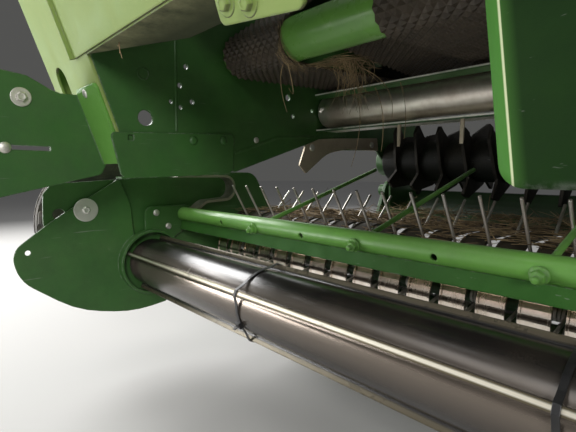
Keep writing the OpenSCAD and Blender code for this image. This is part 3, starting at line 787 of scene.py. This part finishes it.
bmesh.ops.recalc_face_normals(bm, faces=bm.faces)
coils = mesh_object("tine_coils", bm, tine_steel)
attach(coils, "reel")

# Bolts, washers and rivets
# Zinc-plated and painted M10 and M12 hardware: hexagon heads on flat washers and carriage bolts with
# low domes. The ones on a part move with it, and an unused blank is still in place in each sheet.
def turned_to(direction):
    return Vector(direction).normalized().to_track_quat("Z", "Y").to_matrix().to_4x4()


def lathe(bm, frame_of, profile, sides):
    rings = []
    for radius, height in profile:
        if radius < 1e-6:
            rings.append([bm.verts.new(frame_of @ Vector((0, 0, height)))])
            continue
        ring = []
        for i in range(sides):
            a = 2 * math.pi * (i + 0.5) / sides
            corner = Vector((radius * math.cos(a), radius * math.sin(a), height))
            ring.append(bm.verts.new(frame_of @ corner))
        rings.append(ring)
    for low, high in zip(rings, rings[1:]):
        for i in range(sides):
            j = (i + 1) % sides
            if len(low) == 1 and len(high) == 1:
                continue
            if len(low) == 1:
                bm.faces.new((low[0], high[j], high[i]))
            elif len(high) == 1:
                bm.faces.new((low[i], low[j], high[0]))
            else:
                bm.faces.new((low[i], low[j], high[j], high[i]))


def hex_bolt(bm, place, direction, across, washer_r, spin=0.0):
    at = Matrix.Translation(place) @ turned_to(direction) @ Matrix.Rotation(spin, 4, "Z")
    washer_t = 0.0025
    lathe(bm, at, [
        (0, 0), (washer_r, 0), (washer_r, washer_t * 0.7), (washer_r - 0.0008, washer_t), (0, washer_t),
    ], 40)
    head = across / math.sqrt(3)
    tall = across * 0.42
    lathe(bm, at, [(0, washer_t), (head, washer_t), (head, washer_t + tall * 0.85)], 6)
    lathe(bm, at, [
        (head, washer_t + tall * 0.85), (head * 0.84, washer_t + tall), (head * 0.55, washer_t + tall),
        (head * 0.50, washer_t + tall * 0.93), (0, washer_t + tall * 0.93),
    ], 6)


def carriage_bolt(bm, place, direction, radius):
    at = Matrix.Translation(place) @ turned_to(direction)
    profile = [(0, 0), (radius, 0), (radius, radius * 0.12)]
    profile += [(radius * math.cos(t), radius * (0.12 + 0.42 * math.sin(t))) for t in (0.3, 0.6, 0.9, 1.2)]
    lathe(bm, at, [*profile, (0, radius * 0.54)], 24)


zinc_plate = steel(
    "zinc_plate", (0.80, 0.79, 0.75), (0.52, 0.49, 0.42), gloss=0.24, along=60.0, across=60.0,
    dust_amount=0.25, metallic=0.85
)
front_slope = math.radians(19.8)
forward = Vector((0, -math.cos(front_slope), -math.sin(front_slope)))
for side in (-1, 1):
    inward = (-side, 0, 0)
    bm = bmesh.new()
    arm_face = side * 0.890
    hex_bolt(bm, (arm_face, -1.132, 0.035), inward, 0.0155, 0.0172, 0.3)
    carriage_bolt(bm, (arm_face, -1.161, -0.057), inward, 0.0105)
    carriage_bolt(bm, (side * 0.843, -1.0355, 0.047), forward, 0.008)
    bracket_face = side * 0.775
    for y, z in ((-0.500, -0.030), (-0.246, -0.010)):
        carriage_bolt(bm, (bracket_face, y, z), inward, 0.009)
    sheet_face = side * sheet_in
    carriage_bolt(bm, (sheet_face, -0.680, -0.021), inward, 0.007)
    side_name = "left" if side < 0 else "right"
    bolts = mesh_object("frame_bolts_" + side_name, bm, zinc_plate)
    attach(bolts, "intake_frame")

    bm = bmesh.new()
    blank = Matrix.Translation((sheet_face, -0.950, 0.087)) @ turned_to(inward)
    lathe(bm, blank, [(0, 0.0008), (0.0098, 0.0008), (0.0104, 0.0018), (0.0114, 0.0016), (0.0118, 0)], 40)
    for y, z in ((-0.747, 0.262), (-0.560, 0.262)):
        carriage_bolt(bm, (sheet_face, y, z), inward, 0.009)
    box_face = side * 0.776
    for y, z in ((-0.847, -0.032), (-0.773, -0.028)):
        carriage_bolt(bm, (box_face, y, z), inward, 0.009)
    bolts = mesh_object("painted_bolts_" + side_name, bm, frame_paint)
    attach(bolts, "intake_frame")

    bm = bmesh.new()
    nose_face = side * 1.104
    hex_bolt(bm, (nose_face, -0.964, -0.193), inward, 0.016, 0.029, 0.2)
    bolts = mesh_object("nose_bolts_" + side_name, bm, zinc_plate)
    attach(bolts, "pickup")

    bm = bmesh.new()
    press_face = side * 1.096
    for y, z in ((-0.783, -0.209), (-0.748, -0.248)):
        carriage_bolt(bm, (press_face, y, z), inward, 0.009)
    bolts = mesh_object("press_bolts_" + side_name, bm, zinc_plate)
    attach(bolts, "crop_press")

bm = bmesh.new()
for x, y, z in ((-0.354, -1.0468, 0.071), (-0.321, -1.0440, 0.063)):
    hex_bolt(bm, (x, y, z), forward, 0.014, 0.0135, 0.2)
bolts = mesh_object("panel_bracket_bolts", bm, lit_panel_paint)
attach(bolts, "intake_frame")

# Rod nuts on the press tube
# Each compressor rod passes through the cross tube and is held in front by a painted nut on a thick
# washer. The thread stands out of the nut.
tube_at = Vector((0, -0.700, -0.216))
tube_r = 0.019
rod_slope = math.radians(17)
rod_way = Vector((0, math.cos(rod_slope), math.sin(rod_slope)))
bm = bmesh.new()
for i, x in enumerate((-0.740, -0.450, -0.156, 0.132, 0.414, 0.708)):
    front = tube_at + Vector((x, 0, 0)) - rod_way * (tube_r - 0.001)
    at = Matrix.Translation(front) @ turned_to(-rod_way)
    lathe(bm, at, [
        (0, 0), (0.0120, 0), (0.0125, 0.001), (0.0125, 0.0035), (0.0118, 0.0042), (0, 0.0042),
    ], 36)
    nut = at @ Matrix.Rotation(0.5 * i, 4, "Z")
    lathe(bm, nut, [
        (0, 0.0042), (0.0085, 0.0042), (0.0096, 0.0055), (0.0096, 0.0115), (0.0082, 0.0128), (0, 0.0128),
    ], 6)
    turns = [(0.0050 - 0.0005 * (k % 2), 0.0128 + 0.00075 * k) for k in range(9)]
    lathe(bm, at, [(0, 0.0128), *turns, (0.0038, 0.0200), (0, 0.0200)], 20)
nuts = mesh_object("rod_nuts", bm, bright_paint)
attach(nuts, "crop_press")

# Cable ties on the crop roller
# Black nylon ties round the ribs, each with its square head and a short cut tail.
rib_reach, drum = 0.0755, 0.0632
tie_half_w, tie_t, rib_half_w = 0.0038, 0.0016, 0.0050
head_turn, head_out, tail_out = math.radians(52), 0.0045, 0.012
tie_plastic, tree, shader = new_material("tie_plastic")
grain = use_group(tree, skin_group, Peel_Scale=700.0)
body = blend_colour(tree, grain.outputs["Smears"], (0.010, 0.010, 0.011), (0.028, 0.027, 0.026))
wire(tree, body, shader, "Base Color")
wire(tree, multiply_add(tree, grain.outputs["Smears"], 0.2, 0.32), shader, "Roughness")


def on_circle(angle):
    return Vector((math.cos(angle), math.sin(angle)))


def tie_path():
    points = []
    for i in range(4):
        a = rib_turn + math.radians(90 * i)
        out = on_circle(a)
        across = Vector((-out.y, out.x))
        points.append(out * rib_reach - across * rib_half_w)
        points.append(out * rib_reach + across * rib_half_w)
        for k in range(1, 6):
            lift = 0.0006 + 0.0009 * (k - 3) ** 2
            points.append(on_circle(a + math.radians(15 * k)) * (drum + lift))
    return points


for number, (x, lean) in enumerate(((-0.594, 0.10), (-0.090, -0.06))):
    bm = bmesh.new()
    rings = []
    for p in tie_path():
        out = p.normalized()
        shift = lean * (p.y + p.x) * 0.35
        ring = []
        for width, height in (
            (-tie_half_w, 0), (tie_half_w, 0), (tie_half_w, tie_t), (-tie_half_w, tie_t),
        ):
            q = p + out * height
            ring.append(bm.verts.new(roller_at + Vector((x + shift + width, q.x, q.y))))
        rings.append(ring)
    join_rings(bm, rings + rings[:1])
    a = rib_turn + math.radians(90) + head_turn
    head_at = on_circle(a) * (drum + head_out)
    shift = lean * (head_at.y + head_at.x) * 0.35
    for out, size in ((head_out, (0.013, 0.008, 0.012, 1)), (tail_out, (0.0070, 0.012, 0.0016, 1))):
        middle = on_circle(a) * (drum + out)
        at = Matrix.Translation(roller_at + Vector((x + shift, middle.x, middle.y)))
        bmesh.ops.create_cube(bm, size=1, matrix=at @ Matrix.Rotation(a, 4, "X") @ Matrix.Diagonal(size))
    bmesh.ops.recalc_face_normals(bm, faces=bm.faces)
    tie = mesh_object("cable_tie_" + str(number + 1), bm, tie_plastic)
    edge = tie.modifiers.new("edge", "BEVEL")
    edge.width, edge.segments = 0.0005, 2
    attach(tie, "crop_roller")

# Hay left in the machine
# Dry stalks caught on the belts and scrapers, and a litter of broken stems on the floor of the intake
# and on top of the stripper bands.
hay_stem, tree, shader = new_material("hay_stem")
tone = ramp(tree, noise(tree, object_place(tree), 40.0, 4.0, 0.6), 0.35, 0.65)
body = blend_colour(tree, tone, (0.40, 0.29, 0.15), (0.15, 0.10, 0.055))
wire(tree, body, shader, "Base Color")
shader.inputs["Roughness"].default_value = 0.75
chance = random.Random(11)


def vary(low, high):
    return chance.uniform(low, high)


def stem_ring(bm, p, side, up, r):
    return [bm.verts.new(p + (side * math.cos(a) + up * math.sin(a)) * r) for a in (0.5, 2.6, 4.7)]


def close_stem(bm, rings):
    join_rings(bm, rings)
    bm.faces.new(rings[0][::-1])
    bm.faces.new(rings[-1])


def stalk(bm, start, way, length, bend, width):
    way = Vector(way).normalized()
    side = way.cross(Vector(bend)).normalized()
    up = side.cross(way).normalized()
    rings = []
    for k in range(6):
        t = k / 5
        p = Vector(start) + way * length * t + Vector(bend) * length * t * t
        rings.append(stem_ring(bm, p, side, up, width * (1 - 0.5 * t)))
    close_stem(bm, rings)


def strand(bm, points, width):
    rings = []
    a, b, c = (Vector(p) for p in points)
    for k in range(11):
        t = k / 10
        p = a.lerp(b, t).lerp(b.lerp(c, t), t)
        way = (b - a).lerp(c - b, t).normalized()
        side = way.cross(Vector((0.3, 1, 0.1))).normalized()
        rings.append(stem_ring(bm, p, side, side.cross(way), width * (1 - 0.5 * t)))
    close_stem(bm, rings)


bm = bmesh.new()
for _ in range(70):
    x = vary(-0.590, -0.505)
    start = (x, vary(-0.715, -0.680), vary(0.106, 0.112))
    middle = (x + vary(0.03, 0.10), vary(-0.70, -0.66), vary(0.100, 0.122))
    end = (vary(-0.530, -0.450), vary(-0.70, -0.65), vary(0.060, 0.105))
    strand(bm, (start, middle, end), vary(0.0003, 0.0006))
for _ in range(34):
    x = vary(-0.535, -0.480)
    start = (x, vary(-0.700, -0.670), vary(0.100, 0.112))
    middle = (x + vary(-0.01, 0.03), vary(-0.69, -0.66), vary(0.060, 0.085))
    end = (x + vary(-0.04, 0.05), vary(-0.69, -0.64), vary(0.012, 0.060))
    strand(bm, (start, middle, end), vary(0.0003, 0.0007))
for _ in range(26):
    x = vary(-0.600, -0.585)
    start = (x, vary(-0.780, -0.760), vary(0.120, 0.190))
    middle = (x + vary(0, 0.02), vary(-0.790, -0.770), vary(0.09, 0.14))
    end = (x + vary(-0.01, 0.03), vary(-0.74, -0.70), vary(0.085, 0.106))
    strand(bm, (start, middle, end), vary(0.0003, 0.0006))
for points in (
    ((-0.612, -0.745, 0.110), (-0.660, -0.720, 0.090), (-0.650, -0.700, 0.028)),
    ((-0.600, -0.745, 0.112), (-0.600, -0.715, 0.030), (-0.640, -0.705, 0.075)),
    ((-0.500, -0.650, 0.100), (-0.440, -0.620, 0.070), (-0.462, -0.600, 0.010)),
    ((-0.470, -0.645, 0.060), (-0.452, -0.630, 0.020), (-0.470, -0.620, -0.055)),
    ((-0.640, -0.500, 0.099), (-0.600, -0.495, 0.040), (-0.650, -0.490, -0.080)),
    ((-0.520, -0.490, 0.100), (-0.500, -0.485, 0.050), (-0.512, -0.480, -0.020)),
    ((-0.700, -1.020, 0.104), (-0.672, -1.040, 0.112), (-0.664, -1.034, 0.078)),
    ((-0.690, -1.030, 0.103), (-0.655, -1.040, 0.108), (-0.668, -1.036, 0.086)),
):
    strand(bm, points, width=0.0011)
hanging = mesh_object("hanging_hay", bm, hay_stem)
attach(hanging, "intake_frame")

bm = bmesh.new()
for _ in range(900):
    y = vary(-0.222, -0.135)
    floor_top = -0.218 + (y + 0.226) * 0.14 if y < -0.19 else -0.2135 + (y + 0.19) * 0.10
    start = (vary(-0.76, 0.76), y, floor_top + 0.0015 + vary(0, 0.010))
    way = (vary(-1, 1), vary(-0.8, 0.5), vary(-0.02, 0.25))
    length = vary(0.02, 0.07)
    bend = (vary(-0.2, 0.2), vary(-0.1, 0.1), -0.05)
    stalk(bm, start, way, length, bend, width=0.0010)
litter = mesh_object("floor_hay", bm, hay_stem)
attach(litter, "intake_frame")

band_axis, band_r, band_top_z = (-0.480, -0.299), 0.0875, -0.2115
bm = bmesh.new()
for _ in range(1900):
    y = vary(-0.555, -0.27)
    bend_y = min(y - band_axis[0], 0.0)
    band_top = band_top_z if bend_y == 0 else band_axis[1] + math.sqrt(band_r ** 2 - bend_y ** 2)
    start = (vary(-1.05, 1.05), y, band_top + vary(0.0005, 0.006))
    way = (vary(-1, 1), vary(-0.5, 0.5), vary(-0.02, 0.10))
    length = vary(0.03, 0.08)
    bend = (vary(-0.2, 0.2), vary(-0.1, 0.1), -0.05)
    stalk(bm, start, way, length, bend, width=vary(0.0008, 0.0014))
litter = mesh_object("band_hay", bm, hay_stem)
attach(litter, "pickup")
